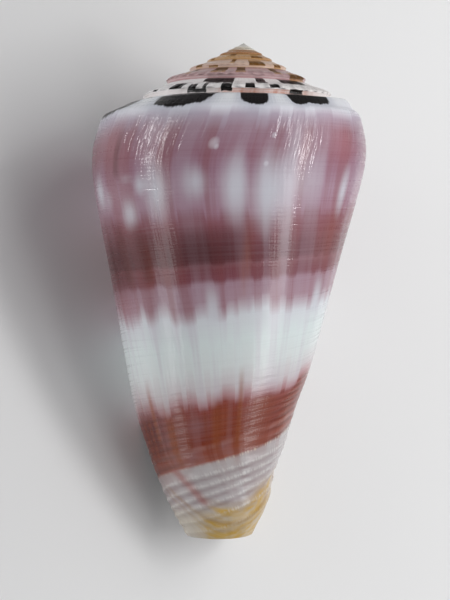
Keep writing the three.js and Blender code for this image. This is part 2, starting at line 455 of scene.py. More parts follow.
# %% Weld the skin
quads = []
for sheet in sheets:
    around = (sheet[:-1, :-1], sheet[1:, :-1], sheet[1:, 1:], sheet[:-1, 1:])
    quads.append(np.stack(around, 2).reshape(-1, 4, 6))
soup = np.concatenate([q.reshape(-1, 6) for q in quads] + [f.reshape(-1, 6) for f in fans])
counts = [4] * sum(len(q) for q in quads) + [3] * sum(len(f) for f in fans)
points, welded = np.unique(soup[:, :3].round(5), axis=0, return_inverse=True)
welded = welded.ravel()

faces, kept, start = [], [], 0
for count in counts:
    corners = welded[start:start + count]
    fresh = [k for k in range(count) if corners[k] != corners[k - 1]]
    if len(set(corners[fresh].tolist())) >= 3:
        faces.append(corners[fresh].tolist())
        kept.extend(start + k for k in fresh)
    start += count
facts = soup[kept, 3:]

edge_use = {}
for face in faces:
    for edge_ends in zip(face, face[1:] + face[:1]):
        key = tuple(sorted(edge_ends))
        edge_use[key] = edge_use.get(key, 0) + 1
open_edges = sum(use != 2 for use in edge_use.values())
print(len(points), "points,", len(faces), "faces,", open_edges, "edges not shared by two faces")

# %% [markdown]
# Then the shell is laid to rest on its mouth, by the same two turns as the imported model, with its
# lowest point on the floor.

# %% Lay it down
ROLL, PITCH = math.radians(-21.35), math.radians(12.78)
to_rest = np.array(Matrix.Rotation(PITCH, 3, "X") @ Matrix.Rotation(ROLL, 3, "Y"))
laid = points @ to_rest.T
low, high = laid.min(0), laid.max(0)
middle_x, middle_y = [(a + b) / 2 / MM for a, b in zip(*cad_box)][:2]
shift = np.array([middle_x, middle_y, 0]) - [(low[0] + high[0]) / 2, (low[1] + high[1]) / 2, low[2]]



def add_object(name, data):
    """A new object in the scene."""
    made = bpy.data.objects.new(name, data)
    bpy.context.scene.collection.objects.link(made)
    return made


mesh = bpy.data.meshes.new("cone_shell")
mesh.from_pydata(((laid + shift) * MM).tolist(), [], faces)
shell = add_object("cone_shell", mesh)

# %% [markdown]
# ## Where the colours lie
#
# The snail paints only at the lip, so each mark has a place in turns and in depth below the apex. A
# few smooth measures are worked out here for each corner of the mesh: which band, how near to a
# black blotch, how near to a white cloud. One tall cloud on the left is also a painted sheen. The
# material then gives them their ragged edges.
#
# Bands run round the shell and drift a little deeper with each turn, which is corrected first.
# Tongues are short stretches of time where they are moved up or down, drawn at random on the hidden
# side.

# %% Bands
turn, station, side = facts.T
at = turn - lean(station)
depth = np.where(station < 1, 8.4 + 2.1 * station, outline_at(np.maximum(station, 1))[1])
drift = mix(2.7, 6.5, smooth(depth, 55, 68))
band = depth - drift * (at - MEASURED_AT)
stripe = at + bend(depth, 0.018, 0.03, 0.16, 68)

# turn, half its width in turns, from depth, to depth, moved by: a plus brings deeper colours up
TONGUES = [
    (-0.1, 0.02, 43, 49, 0.8), (-0.15, 0.014, 43, 49, -0.6), (-0.178, 0.008, 43, 49, 0.8),
    (-0.215, 0.014, 43, 49, 0.6), (-0.25, 0.018, 43, 49, -0.6), (-0.302, 0.01, 43, 49, -0.5),
    (-0.33, 0.012, 43, 49, 0.4), (-0.362, 0.014, 43, 48, 1.0), (-0.43, 0.03, 43, 49, -0.3),
    (-0.152, 0.014, 58, 63, 0.5), (-0.195, 0.014, 58, 64, -0.9), (-0.24, 0.012, 58, 63, 0.5),
    (-0.31, 0.01, 58, 63, 0.5), (-0.275, 0.012, 58, 64, -0.3), (-0.435, 0.03, 58, 64, -0.5),
    (-0.49, 0.02, 58, 63, 0.8), (-0.12, 0.012, 58, 63, 0.6),
]
for k in range(26):
    moved, reach = rng.uniform(-1, 1.2), (43, 49) if k % 2 else (58, 63)
    TONGUES.append((rng.uniform(-1.1, -0.62), rng.uniform(0.01, 0.018), *reach, moved))
for where, half, top, foot, moved in TONGUES:
    window = smooth(depth, top - 1.5, top + 1.5) * (1 - smooth(depth, foot - 1.5, foot + 1.5))
    window *= 1 - smooth(np.abs(at - where), 0.7 * half, 1.3 * half)
    band += moved * window
print("bands from", band.min().round(1), "to", band.max().round(1), "mm,", len(TONGUES), "tongues")

# %% [markdown]
# Black blotches hang from the edge of the last whorl, wide apart. White clouds float in the lilac
# band; the tall one at turn -0.226 is also a painted sheen, where the left highlight runs down. Both
# are lists of soft boxes: a turn, a station or depth, and half their width and height.
# On the hidden side more are drawn at random.

# %% Blotches and clouds
def nearest(across, along, marks, power):
    """1 in the middle of the nearest mark, 0 on its edge, less outside it."""
    best = np.full(len(across), -3.0)
    for where, place, half, tall, strength in marks:
        reach = np.abs((across - where) / half) ** power + np.abs((along - place) / tall) ** power
        best = np.maximum(best, strength * (1 - reach ** (1 / power)))
    return best


# turn, station, half width in turns, half height in stations
BLOTCHES = [
    (-0.24, 0.9, 0.04, 2.1), (-0.252, 0.5, 0.034, 1.55), (-0.337, 0.6, 0.0205, 2.2),
    (-0.396, 1.0, 0.012, 1.55), (-0.424, 0.8, 0.036, 1.35), (-0.1, 0.9, 0.062, 2.5),
]
for k in range(5):
    where = -0.63 - 0.085 * k + rng.uniform(-0.015, 0.015)
    BLOTCHES.append((where, 0.9, rng.uniform(0.018, 0.034), rng.uniform(1.2, 2.0)))
dark = nearest(at, station, [(*mark, 1) for mark in BLOTCHES], 2.4)

# turn, depth, half width in turns, half height in millimetres, strength
CLOUDS_AND_SHEEN = [
    (-0.116, 26.2, 0.013, 2.2, 0.6), (-0.182, 29.9, 0.015, 3.2, 0.95), (-0.205, 25.5, 0.012, 1.6, 0.6),
    # the cloud at turn -0.226 is a white cloud and a painted sheen, where the left highlight runs down
    (-0.226, 26.4, 0.018, 5.6, 0.9), (-0.274, 25.2, 0.013, 2.6, 0.65), (-0.317, 26.2, 0.016, 5.0, 0.72),
    (-0.357, 26.6, 0.024, 7.0, 0.95), (-0.392, 25.0, 0.02, 5.0, 0.3), (-0.466, 26.9, 0.011, 5.0, 0.9),
    (-0.182, 24.4, 0.009, 1.0, 0.4), (-0.145, 27.5, 0.008, 1.5, 0.3),
]
for k in range(12):
    where = -0.6 - 0.042 * k + rng.uniform(-0.01, 0.01)
    CLOUDS_AND_SHEEN.append((where, rng.uniform(24, 30), rng.uniform(0.007, 0.017), rng.uniform(1.5, 4.5), 0.7))
cloud_and_sheen = nearest(at, depth, CLOUDS_AND_SHEEN, 2.0)
print(len(BLOTCHES), "blotches,", len(CLOUDS_AND_SHEEN), "clouds")

# %% [markdown]
# Mauve lies in the grooves between the base's white cords, an orange stain gathers in shallow arcs,
# the end of the shell is ochre, and one red streak slants down from the brown band. A dusky veil
# lies over part of the maroon band.

# %% Base and veil
ARC_TURN, ARC_BEND = -0.35, 110  # turn where the arcs are lowest, and how steeply they rise from it
SLASH_TURN, SLASH_DEPTH, SLASH_SLOPE = -0.187, 70.8, 54  # the streak's upper end, and its fall in a turn
along_cords = cord_depth(at, depth)
cords = sum(bump(along_cords, middle - 0.05, 0.24) for middle, height in BASE_CORDS)
under = sum(bump(along_cords, middle + 0.42, 0.2) for middle, height in BASE_CORDS)
side_grooves = sum(bump(along_cords, 61.7 + CORD_GAP * k, 0.26) for k in range(8))
under += smooth(along_cords, 60, 62) * side_grooves
arc = depth + ARC_BEND * (at - ARC_TURN) ** 2
low_end = smooth(depth, 72, 74) * (at > -1)
to_right = smooth(-at, 0.24, 0.3)
ochre = 0.9 * bump(arc, 76.0, 0.4) * smooth(-at, 0.26, 0.31) * low_end
ochre += smooth(arc, 77.4, 78.2) * to_right * smooth(depth, 73.5, 76.5)
ochre += 0.8 * smooth(-at, 0.37, 0.46) * smooth(depth, 72.5, 75.5)
ochre += 0.85 * smooth(depth, 75.2, 77.4) * smooth(-at, 0.18, 0.3)
ochre *= at > -1
growth_arcs = bump(arc, 77.5, 0.3) + 0.6 * bump(arc, 75.2, 0.3) * to_right + 0.6 * bump(arc, 78.6, 0.3)
growth_arcs *= low_end
slash = bump((at - SLASH_TURN) * SLASH_SLOPE + depth - SLASH_DEPTH, 0, 0.8)
slash *= smooth(depth, 70.6, 71) * (1 - smooth(depth, 74.6, 75.6))
veil = smooth(-at, 0.13, 0.18) * (1 - smooth(-at, 0.31, 0.35))
veil *= smooth(band, 31.5, 34) * (1 - smooth(band, 38, 39.2))
print("most ochre:", ochre.max().round(2))

# %% [markdown]
# Wide patches of tint break up the bands: rust, rose and grey ones, and some where all is deeper.
# The deeper ones near turn -0.1, along the left flank, are painted shade; the rest are the shell's
# own darker colour. The pale grey one high on the right flank is a painted highlight.

# %% Patches of tint
def patches(*marks):
    """Soft round-edged places: turn, depth, half width, half height, strength."""
    return sum(share * bump(at, a, half) * bump(depth, d, tall) for a, d, half, tall, share in marks)


rust = patches(
    (-0.46, 35, 0.03, 5.5, 0.42), (-0.335, 37.5, 0.006, 6, 0.6), (-0.204, 38, 0.008, 5, 0.5),
    (-0.23, 66, 0.01, 4, 0.7), (-0.315, 65, 0.012, 3.5, 0.8), (-0.4, 64, 0.03, 2, 0.35),
    (-0.345, 68, 0.012, 2.5, 0.6), (-0.175, 69.5, 0.02, 1.5, 0.6), (-0.2, 66, 0.01, 4, 0.5))
rose = patches(
    (-0.455, 18, 0.03, 4, 0.8), (-0.15, 18.5, 0.035, 3.5, 0.5), (-0.13, 44, 0.03, 2.5, 0.6),
    (-0.17, 64.8, 0.02, 1.6, 0.9), (-0.11, 20, 0.02, 2, 0.4))
# grey patches are the shell's own mauve-grey, except the pale one at turn -0.405, depth 18.5: a painted
# highlight
grey_and_sheen = patches(
    (-0.26, 65.3, 0.035, 1.8, 0.9), (-0.08, 65, 0.04, 2, 0.4), (-0.405, 18.5, 0.03, 6, 0.6),
    (-0.24, 15, 0.03, 2, 0.5), (-0.33, 14.5, 0.02, 1.5, 0.5), (-0.245, 69.4, 0.012, 0.8, 0.9),
    (-0.31, 68.6, 0.012, 0.7, 0.9), (-0.4, 65, 0.05, 4, 0.6), (-0.44, 37, 0.06, 5, 0.7),
    (-0.2, 69.3, 0.01, 0.8, 0.8), (-0.185, 67.0, 0.012, 0.9, 0.7))
# deeper patches: those near turn -0.1 are painted shade on the left flank, the others the shell's own
# darker colour
deep_and_shade = patches(
    (-0.12, 37.5, 0.06, 6.5, 1.0), (-0.13, 65.5, 0.06, 5, 1.0), (-0.17, 64.8, 0.02, 1.6, 0.3),
    (-0.1, 20, 0.06, 5, 0.55), (-0.12, 73, 0.07, 4, 0.25), (-0.28, 36.5, 0.04, 3, 0.6))
print("deepest tint:", deep_and_shade.max().round(2))

# %% [markdown]
# The measures are stored on the corners of the mesh, where the material can read them.

# %% Measures for the material
def attach(name, *columns):
    """Stores one measure, or three together, on the corners of the mesh."""
    kind = "FLOAT_VECTOR" if len(columns) == 3 else "FLOAT"
    layer = mesh.attributes.new(name, kind, "CORNER")
    values = np.stack(columns, -1).astype(np.float32).ravel()
    layer.data.foreach_set("vector" if len(columns) == 3 else "value", values)


attach("grown", stripe, depth, at)
attach("turn", turn)
attach("band", band)
attach("dark", dark)
attach("cloud_and_sheen", cloud_and_sheen)
attach("stain", ochre.clip(0, 1), slash, veil)
attach("patch", rust, rose, grey_and_sheen)
attach("place", side, cords, under)
attach("shade", deep_and_shade, growth_arcs, station)
mesh.shade_smooth()
mesh.set_sharp_from_angle(angle=math.radians(48))
mesh.update()
print("measures on", len(facts), "corners")

# %% [markdown]
# ## The enamel
#
# The outside of a cone shell is a hard glossy enamel. Its colour is built in layers: first the
# bands, looked up by depth, then clouds, veils and stains, and last the black blotches. A few helpers
# keep the node code short: one makes any node, one does a step of arithmetic.

# %% Helpers for nodes
enamel = bpy.data.materials.new("shell_enamel")
enamel.use_nodes = True
tree = enamel.node_tree
tree.nodes.clear()


def node(kind, inputs=None, **settings):
    """A new shader node, with each input linked or set."""
    made = tree.nodes.new("ShaderNode" + kind)
    for name, value in settings.items():
        setattr(made, name, value)
    for name, value in (inputs or {}).items():
        if isinstance(value, bpy.types.NodeSocket):
            tree.links.new(value, made.inputs[name])
        else:
            made.inputs[name].default_value = value
    return made


def calc(operation, *values, clamp=False):
    """One step of arithmetic."""
    inputs = dict(enumerate(values))
    return node("Math", inputs, operation=operation, use_clamp=clamp).outputs[0]


print("the material is", enamel.name)

# %% [markdown]
# Sums are needed most: a product, a sum, a distance from a middle value, and a soft edge.

# %% Helpers for sums
def times(a, b):
    return calc("MULTIPLY", a, b)


def plus(a, b):
    return calc("ADD", a, b)


def off(value, middle):
    """How far a value is from a middle one."""
    return calc("ABSOLUTE", plus(value, -middle))


def edge(value, low, high, start=0.0, end=1.0):
    """start before low, end past high, smooth between."""
    inputs = {0: value, 1: low, 2: high, 3: start, 4: end}
    return node("MapRange", inputs, interpolation_type="SMOOTHSTEP").outputs[0]


print("sums ready")

# %% [markdown]
# The rest are for colours and noise.

# %% Helpers for colour
def over(share, base, top, kind="MIX"):
    """One colour laid over another, as far as share says."""
    inputs = {0: share, 6: base, 7: top}
    return node("Mix", inputs, data_type="RGBA", blend_type=kind).outputs[2]


def painted(base, *layers):
    """A colour with layers over it. Each says where it lies, how strong it is, and its colour."""
    for where, strength, colour in layers:
        base = over(times(where, strength), base, (*colour, 1))
    return base


def noise(vector, detail=2.0, rough=0.5):
    """Smooth noise, about 0.5 on average."""
    inputs = {"Vector": vector, "Scale": 1.0, "Detail": detail, "Roughness": rough}
    return node("TexNoise", inputs, noise_dimensions="2D").outputs["Fac"]


def ramp(value, stops, kind="LINEAR"):
    """Colours looked up by a value from 0 to 1."""
    made = node("ValToRGB", {0: value})
    made.color_ramp.interpolation = kind
    elements = made.color_ramp.elements
    while len(elements) < len(stops):
        elements.new(0.5)
    for element, (place, colour) in zip(elements, stops):
        element.position = place
        element.color = (*colour, 1)
    return made.outputs[0]


print("colours ready")

# %% [markdown]
# The measures come in from the mesh under the names they were given there.

# %% Measures as node outputs
def measure(name):
    """The node that reads one attribute of the mesh."""
    return node("Attribute", attribute_name=name, attribute_type="GEOMETRY")


def parts(name):
    """The three measures that share an attribute."""
    return node("SeparateXYZ", {0: measure(name).outputs["Vector"]}).outputs


stripe, depth, at = parts("grown")
ochre, slash, veil = parts("stain")
deep_and_shade, growth_arcs, station = parts("shade")
rust, rose, grey_and_sheen = parts("patch")
side, cord, under = parts("place")
turn, band, dark, cloud_and_sheen = (measure(name).outputs["Fac"] for name in ("turn", "band", "dark", "cloud_and_sheen"))
print(len(tree.nodes), "nodes read the measures")

# %% [markdown]
# Streaks are noise in coordinates of turn and depth. A turn is about 120 mm of shell round the
# middle, so a scale of 48 to a turn gives columns about 2.5 mm wide, and the small scale along the
# depth draws them out. The threads run round the whorl instead. The streaks show in the colour of a
# real cone shell, because pigment follows the relief; the threads' faint pale lines in the colour are
# painted glints of the threads' relief.

# %% Streaks and threads
def streaks(per_turn, per_mm, detail=2.0, rough=0.5):
    """Noise stretched along the growth lines, or across them."""
    vector = node("CombineXYZ", {0: times(stripe, per_turn), 1: times(depth, per_mm)}).outputs[0]
    return noise(vector, detail, rough)


def around(value, strength):
    """Noise turned into a small shift about zero."""
    return times(plus(value, -0.5), strength)


broad = streaks(24, 0.03, 1.0)
columns = streaks(48, 0.02, 0.4)
narrow = streaks(150, 0.04, 2.0, 0.55)
hair = streaks(430, 0.1, 2.0, 0.6)
threads = streaks(5, 2.4, 1.0)
print(len(tree.nodes), "nodes, streaks in")

# %% [markdown]
# ## Bands of colour
#
# Before the bands are looked up, the depth is shifted by the columns, so each column of growth ends
# a band at its own depth. That gives the edges their combed, feathered look, which no plain noise
# does. The shift is large where the photograph shows ragged edges, and small where they are clean.

# %% Ragged edges
SPAN = 80  # millimetres of depth on one ramp


def by_depth(value, stops):
    """A ramp with its stops in millimetres of depth."""
    return ramp(times(value, 1 / SPAN), [(place / SPAN, colour) for place, colour in stops])


RAGGED = [(12, 0.1), (16, 0.7), (30, 0.9), (34, 0.6), (39, 0.25), (41.5, 0.25), (44, 0.5), (48, 0.5),
          (52, 0.8), (60, 0.6), (63.5, 0.3), (66, 0.05), (72, 0.0)]
ragged = by_depth(band, [(place, (share,) * 3) for place, share in RAGGED])
steps = edge(columns, 0.47, 0.53)
wobble = plus(around(steps, 1.3), plus(around(broad, 0.9), around(narrow, 0.35)))
moved_band = plus(band, times(wobble, ragged))
print(len(tree.nodes), "nodes, edges in")

# %% [markdown]
# One ramp holds the colours from the shoulder to the base: white, lilac, maroon, mauve, white again,
# brown, and the pale base.

# %% The bands
BANDS = [
    (10.6, (0.86, 0.88, 0.9)), (12.8, (0.76, 0.77, 0.83)), (14.4, (0.45, 0.38, 0.46)),
    (16.5, (0.34, 0.215, 0.27)), (20.5, (0.31, 0.155, 0.205)), (23.0, (0.34, 0.195, 0.26)),
    (26.0, (0.41, 0.27, 0.34)), (29.6, (0.38, 0.22, 0.285)), (31.4, (0.28, 0.115, 0.145)),
    (33.5, (0.245, 0.088, 0.108)), (36.0, (0.17, 0.052, 0.064)), (38.2, (0.165, 0.05, 0.06)),
    (38.8, (0.255, 0.1, 0.118)), (39.5, (0.215, 0.07, 0.085)), (41.1, (0.215, 0.07, 0.09)),
    (42.0, (0.37, 0.23, 0.285)), (44.9, (0.39, 0.25, 0.3)), (46.3, (0.51, 0.43, 0.48)),
    (47.9, (0.66, 0.68, 0.72)), (52.0, (0.69, 0.76, 0.76)), (56.0, (0.68, 0.72, 0.72)),
    (59.4, (0.6, 0.55, 0.57)), (61.4, (0.46, 0.27, 0.285)), (62.6, (0.27, 0.06, 0.05)),
    (64.0, (0.245, 0.042, 0.02)), (67.9, (0.215, 0.034, 0.012)), (68.3, (0.38, 0.17, 0.14)),
    (68.7, (0.26, 0.064, 0.04)), (70.0, (0.33, 0.12, 0.09)), (70.35, (0.5, 0.46, 0.46)),
    (72.0, (0.47, 0.435, 0.44)),
]
body = by_depth(moved_band, BANDS)
print("ramp stops:", len(BANDS))

# %% [markdown]
# Each column also differs a little in tint: redder, or veiled with white. The tints are strong in
# the maroon and brown bands, and only a breath of mauve in the white ones.

# %% Tints of the columns
body_only = calc("GREATER_THAN", at, -1.0)
light_band = plus(edge(moved_band, 45.5, 48), edge(moved_band, 62.5, 60))
light_band = calc("SUBTRACT", light_band, 1.0, clamp=True)
deep_band = calc("SUBTRACT", 1.0, light_band)
pale = edge(plus(times(columns, 0.8), times(narrow, 0.2)), 0.5, 0.68)
warm = edge(plus(times(columns, 0.7), times(narrow, 0.3)), 0.5, 0.34)
warm = times(warm, times(edge(depth, 13, 17), edge(depth, 71, 69, 0.25, 1.0)))
body = painted(
    body,
    (times(pale, edge(depth, 60, 52, 0.0, 0.17)), deep_band, (0.5, 0.44, 0.52)),
    # pale lines along the threads: painted glints of the threads' relief
    (edge(threads, 0.45, 0.7), times(deep_band, 0.06), (0.45, 0.36, 0.42)),
    (times(warm, 0.35), deep_band, (0.24, 0.06, 0.062)),
    (warm, times(light_band, 0.3), (0.54, 0.47, 0.54)),
    (rust, times(plus(narrow, 0.35), 0.9), (0.3, 0.075, 0.03)),
    (rose, 0.55, (0.42, 0.16, 0.18)),
    # grey patches, one of them a painted highlight high on the right flank
    (grey_and_sheen, 0.32, (0.33, 0.24, 0.28)),
)
# the deeper patches multiply the colour down: painted shade on the left flank, darker colour elsewhere
body = over(deep_and_shade, body, (0.42, 0.22, 0.2, 1), "MULTIPLY")
print(len(tree.nodes), "nodes, tints in")

# %% [markdown]
# The spire has its own colours, which change with age: a white tip, ochre, a creamy pink, a dusky
# pink, then white with a salmon line along the suture. Fine white lines run round the older whorls,
# and a dark line along their sutures is painted shade in the crease where the whorls meet.

# %% Spire colours
age = calc("MULTIPLY_ADD", at, 1 / WHORLS, 1.0)
spire = ramp(age, [
    (0.0, (0.8, 0.78, 0.74)), (0.19, (0.76, 0.73, 0.62)), (0.25, (0.36, 0.14, 0.006)),
    (0.4, (0.33, 0.12, 0.008)), (0.47, (0.5, 0.27, 0.09)), (0.56, (0.66, 0.45, 0.32)),
    (0.63, (0.6, 0.42, 0.36)), (0.69, (0.44, 0.26, 0.27)), (0.76, (0.5, 0.31, 0.31)),
    (0.8, (0.84, 0.79, 0.77)), (0.875, (0.9, 0.89, 0.9)),
])
salmon = times(edge(station, 2.3, 2.8), edge(at, -1.75, -1.6))
salmon = times(salmon, edge(off(at, -1.37), 0.12, 0.04, 0.15, 0.95))
line = edge(calc("SINE", times(station, 17.0)), 0.3, 1.0)
old_whorls = times(edge(at, -1.9, -2.1), edge(at, -6.4, -6.0))
spire = painted(
    spire,
    (salmon, plus(narrow, 0.3), (0.6, 0.3, 0.23)),
    (line, 0.5, (0.8, 0.74, 0.73)),
    # dark line along the suture of the older whorls: painted shade in the crease
    (times(edge(station, 0.18, 0.05), old_whorls), 0.8, (0.1, 0.05, 0.03)),
)
outside = over(body_only, spire, body)
print(len(tree.nodes), "nodes, spire in")

# %% [markdown]
# The spire's dark marks are crisp and squarish, too narrow for the corners of the mesh to carry.
# They are listed by whorl, and on the hidden side more are drawn at random.

# %% Dark marks on the spire
# from turn, to turn, foot of the mark by the suture, then top and foot of the mark below it
SPIRE_MARKS = {
    1: [(-1.475, -1.43, 0.75, 4, 0), (-1.43, -1.405, 0.75, 2.2, 3.35), (-1.386, -1.37, 0, 0.9, 2.0),
        (-1.37, -1.35, 0.85, 4, 0), (-1.34, -1.327, 0, 0.85, 2.4), (-1.305, -1.288, 0.95, 0.9, 3.25),
        (-1.288, -1.264, 0.9, 4, 0), (-1.264, -1.257, 0.9, 0.85, 3.35), (-1.257, -1.244, 0.6, 2.6, 3.35),
        (-1.244, -1.229, 0, 0.95, 3.35), (-1.217, -1.19, 0, 0.7, 2.4), (-1.15, -1.143, 0, 1.5, 2.3)],
    2: [(-2.517, -2.446, 0, 0.8, 3.4), (-2.428, -2.402, 1.2, 4, 0), (-2.331, -2.305, 1.1, 4, 0),
        (-2.28, -2.244, 1.1, 4, 0), (-2.187, -2.163, 0.95, 4, 0)],
    3: [(-3.48, -3.44, 0, 0.9, 3.3), (-3.402, -3.342, 0, 0.2, 2.9), (-3.295, -3.277, 1.05, 4, 0),
        (-3.241, -3.209, 0, 2.4, 3.4), (-3.177, -3.143, 0, 1.0, 3.0)],
    4: [(-4.43, -4.36, 0, 0.5, 3.0), (-4.28, -4.24, 1.0, 4, 0), (-4.17, -4.14, 0, 1.5, 3.4)],
}
for whorl, marks in SPIRE_MARKS.items():
    for k in range(4 if whorl == 1 else 6):
        where = -whorl - 0.94 + 0.065 * k + rng.uniform(-0.02, 0.02)
        top = rng.uniform(0.6, 1.4)
        marks.append((where, where + rng.uniform(0.016, 0.034), 0, top, top + rng.uniform(0.9, 1.9)))
print("marks on each whorl:", [len(marks) for marks in SPIRE_MARKS.values()])

# %% [markdown]
# Each whorl has a ramp of its own with hard steps along the turns. Red says how far down the mark by
# the suture reaches, green and blue say where the mark below it starts and ends, all in units of four
# stations. Empty places have no mark.

# %% Ramps of the spire's marks
def mark_steps(whorl):
    """Ramp stops for one whorl: a colour at each mark's start, and an empty one where it ends."""
    stops, last_end = [(0.0, (0, 1, 0))], 0.0
    for first, last, upper, top, foot in sorted(SPIRE_MARKS[whorl]):
        start, end = first + whorl + 1, last + whorl + 1
        if start > last_end + 0.0005:
            stops.append((last_end, (0, 1, 0)))
        stops.append((start, (upper / 4, top / 4, foot / 4)))
        last_end = end
    return stops[1:] + [(last_end, (0, 1, 0))]


quarter = plus(times(station, 0.25), around(narrow, 0.06))
unsteady = plus(at, plus(around(hair, 0.006), around(narrow, 0.008)))
spire_dark = -1.0
for whorl in SPIRE_MARKS:
    row = ramp(plus(unsteady, whorl + 1), mark_steps(whorl), "CONSTANT")
    reach, top, foot = node("SeparateColor", {0: row}).outputs
    upper = calc("SUBTRACT", reach, quarter)
    lower = calc("MINIMUM", calc("SUBTRACT", quarter, top), calc("SUBTRACT", foot, quarter))
    spire_dark = calc("MAXIMUM", spire_dark, calc("MAXIMUM", upper, lower))
print("stops on each whorl's ramp:", [len(mark_steps(whorl)) for whorl in SPIRE_MARKS])

# %% [markdown]
# ## Marks of the last whorl
#
# White clouds with soft edges come first, one of them partly a painted sheen, and a dusky veil over
# the maroon. Marks narrower than the mesh's columns are drawn here: white specks, and spikes in
# white, maroon and rust that run along the growth lines.

# %% Clouds, veil, specks and spikes
def speck(middle, place, half, tall):
    """A small round mark: 1 in its middle, 0 outside."""
    along = times(plus(depth, -place), 1 / tall)
    across = times(off(stripe, middle), 1 / half)
    return edge(plus(times(along, along), times(across, across)), 1.5, -0.3)


def spike(middle, half, top, foot):
    """A narrow mark along a growth line, soft all round."""
    ends = times(edge(depth, top - 2.5, top + 3), edge(depth, foot + 1, foot - 1))
    return times(edge(off(stripe, middle), 1.8 * half, 0.2 * half), ends)


# turn, depth, half width in turns, half height in millimetres
SPECKS = [(-0.287, 19.0, 0.006, 1.0), (-0.291, 19.6, 0.0028, 0.5), (-0.35, 17.6, 0.003, 0.5),
          (-0.349, 22.3, 0.003, 0.5)]
# turn, half width in turns, depth of the top and of the foot
WHITE_SPIKES = [(-0.275, 0.0078, 43.0, 48), (-0.448, 0.009, 43.0, 48)]
MAROON_SPIKES = [(-0.147, 0.008, 32, 41), (-0.186, 0.009, 33, 41), (-0.165, 0.005, 17, 24)]
RUST_SPIKES = [(-0.135, 0.0055, 58.5, 67), (-0.313, 0.004, 57.5, 69), (-0.175, 0.011, 64, 70),
               (-0.268, 0.008, 62, 69)]
# white clouds, one of them partly painted sheen
cloudy_and_sheen = times(edge(plus(cloud_and_sheen, around(columns, 0.7)), -0.35, 0.9), body_only)
outside = painted(
    outside,
    (cloudy_and_sheen, 0.84, (0.65, 0.67, 0.73)),
    (veil, 0.33, (0.085, 0.038, 0.042)),
    *[(speck(*mark), 0.42, (0.8, 0.8, 0.86)) for mark in SPECKS],
    *[(spike(*mark), 0.75, (0.62, 0.63, 0.68)) for mark in WHITE_SPIKES],
    *[(spike(*mark), 0.5, (0.1, 0.022, 0.02)) for mark in MAROON_SPIKES],
    *[(spike(*mark), 0.55, (0.3, 0.085, 0.03)) for mark in RUST_SPIKES],
)
print(len(tree.nodes), "nodes, marks in")

# %% [markdown]
# The brown band is streaked, paler and darker. Below it come a thin row of cream dots, white beaded
# cords with mauve-grey between them, and the red streak.

# %% Brown band and cords
in_brown = times(edge(moved_band, 61.5, 63.0), edge(moved_band, 70.5, 70.2))
lined = times(in_brown, edge(off(at, -0.31), 0.07, 0.15, 0.2, 0.9))
on_base = times(edge(moved_band, 70.15, 70.5), body_only)
beads = edge(plus(cord, around(streaks(260, 0.3, 1.0), 1.6)), 0.45, 1.1)
dots = times(edge(off(moved_band, 70.3), 0.25, 0.05), edge(narrow, 0.5, 0.66))
dots = times(dots, edge(at, -0.26, -0.34, 0.1, 0.45))
outside = painted(
    outside,
    (in_brown, times(pale, 0.3), (0.33, 0.16, 0.16)),
    (in_brown, times(warm, 0.45), (0.24, 0.05, 0.012)),
    (under, times(lined, 0.55), (0.085, 0.014, 0.008)),
    (on_base, times(beads, 0.65), (0.64, 0.62, 0.6)),
    (on_base, times(under, times(broad, 0.75)), (0.26, 0.17, 0.18)),
    (dots, body_only, (0.74, 0.62, 0.46)),
    (slash, 0.65, (0.34, 0.1, 0.085)),
)
print(len(tree.nodes), "nodes, cords in")

# %% [markdown]
# The ochre stain gathers towards the end, in patches drawn out along the arcs.

# %% Ochre end
off_middle = plus(at, -ARC_TURN)
arc = plus(depth, times(ARC_BEND, times(off_middle, off_middle)))
along_arc = node("CombineXYZ", {0: times(stripe, 16), 1: times(arc, 1.6)}).outputs[0]
patchy = edge(noise(along_arc), 0.2, 0.75, 0.3, 0.95)
stained = calc("MULTIPLY", ochre, patchy, clamp=True)
cream = times(edge(depth, 74.5, 77.5), body_only)
outside = painted(
    outside,
    (cream, 0.4, (0.62, 0.55, 0.36)),
    (stained, calc("MULTIPLY_ADD", beads, -0.4, 1.0), (0.54, 0.34, 0.075)),
    (growth_arcs, 0.45, (0.29, 0.15, 0.04)),
)
print(len(tree.nodes), "nodes, ochre in")

# %% [markdown]
# Blotches last. Their ragged edge is the fine streak noise, and a bluish halo shows under them,
# where the black lies below a thin layer of white. On the old whorls the marks have worn to brown,
# with a golden edge.

# %% Blotches
halo = times(edge(dark, -0.6, 0.05), body_only)
golden = times(edge(spire_dark, -0.1, 0.02), times(old_whorls, edge(station, 0.12, 0.3)))
ink = ramp(age, [(0.0, (0.28, 0.12, 0.02)), (0.6, (0.17, 0.075, 0.016)), (0.74, (0.1, 0.045, 0.015)),
                 (0.79, (0.03, 0.015, 0.012)), (0.83, (0.008, 0.006, 0.006))])
blotch = edge(plus(dark, plus(around(narrow, 0.3), around(hair, 0.1))), -0.03, 0.1)
softness = edge(at, -1.6, -2.3, 0.03, 0.14)
blotch = over(body_only, edge(spire_dark, -0.01, softness), blotch)
outside = painted(
    outside,
    (halo, 0.45, (0.4, 0.42, 0.5)),
    (golden, 0.65, (0.46, 0.23, 0.05)),
)
outside = over(blotch, outside, ink)
print(len(tree.nodes), "nodes, blotches in")

# %% [markdown]
# Inside the mouth the wall is plain porcelain, faintly lilac further in. Near the thin lip the outer
# bands show through.

# %% Porcelain
thin = times(edge(turn, -0.1, 0.0), 0.35)
porcelain = over(edge(turn, -0.08, -0.6), (0.72, 0.7, 0.72, 1), (0.6, 0.53, 0.6, 1))
porcelain = over(thin, porcelain, body)
skin = over(side, outside, porcelain)
print(len(tree.nodes), "nodes, porcelain in")

# %% [markdown]
# Growth lines and spiral threads are too fine for the mesh, but they comb the highlights, so they
# are bump. The clear coat takes all of it, and its glints break up. The colour beneath takes a tenth
# and stays calm. The knobs of the spire get a bump too.

